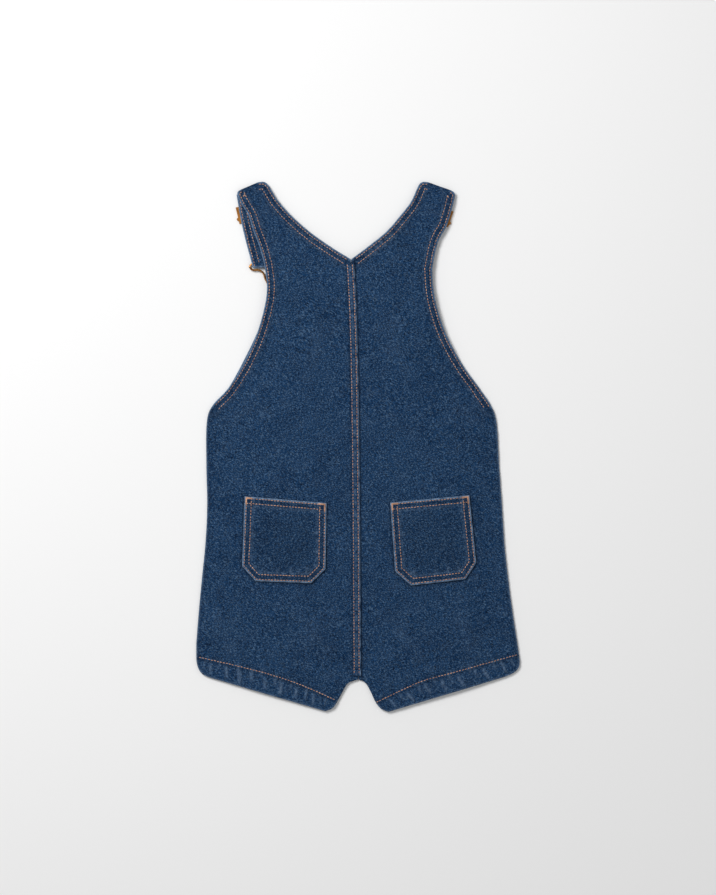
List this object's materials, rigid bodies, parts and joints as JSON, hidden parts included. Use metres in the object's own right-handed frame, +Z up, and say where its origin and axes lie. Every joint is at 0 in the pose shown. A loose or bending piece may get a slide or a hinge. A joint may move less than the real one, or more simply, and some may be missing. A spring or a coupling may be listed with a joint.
{
  "type": "denim short overalls",
  "caption": "Toddler's denim short overalls laid front down, showing the back with its felled seam, patch pockets and shoulder straps.",
  "frame": {"origin": "centre of the garment's footprint on the surface it lies on", "axes": "+Y from the leg hems to the shoulder straps, +Z up out of the back, +X across the garment"},
  "size_m": [0.302, 0.4948, 0.0091],
  "materials": {
    "denim": "dark blue twill with pale abraded edges",
    "thread": "tan cotton-wrapped topstitching thread",
    "brass": "polished, lightly worn"
  },
  "bodies": {
    "root": {"back_left": "denim", "back_right": "denim", "centre_back_seam": "denim", "front_left": "denim", "front_right": "denim", "pocket_left": "denim", "pocket_right": "denim", "strap_front_left": "denim", "strap_front_right": "denim", "hook_left": "brass", "hook_right": "brass", "bib_button_left": "brass", "bib_button_right": "brass", "slider_left": "brass", "slider_right": "brass"}
  },
  "joints": []
}
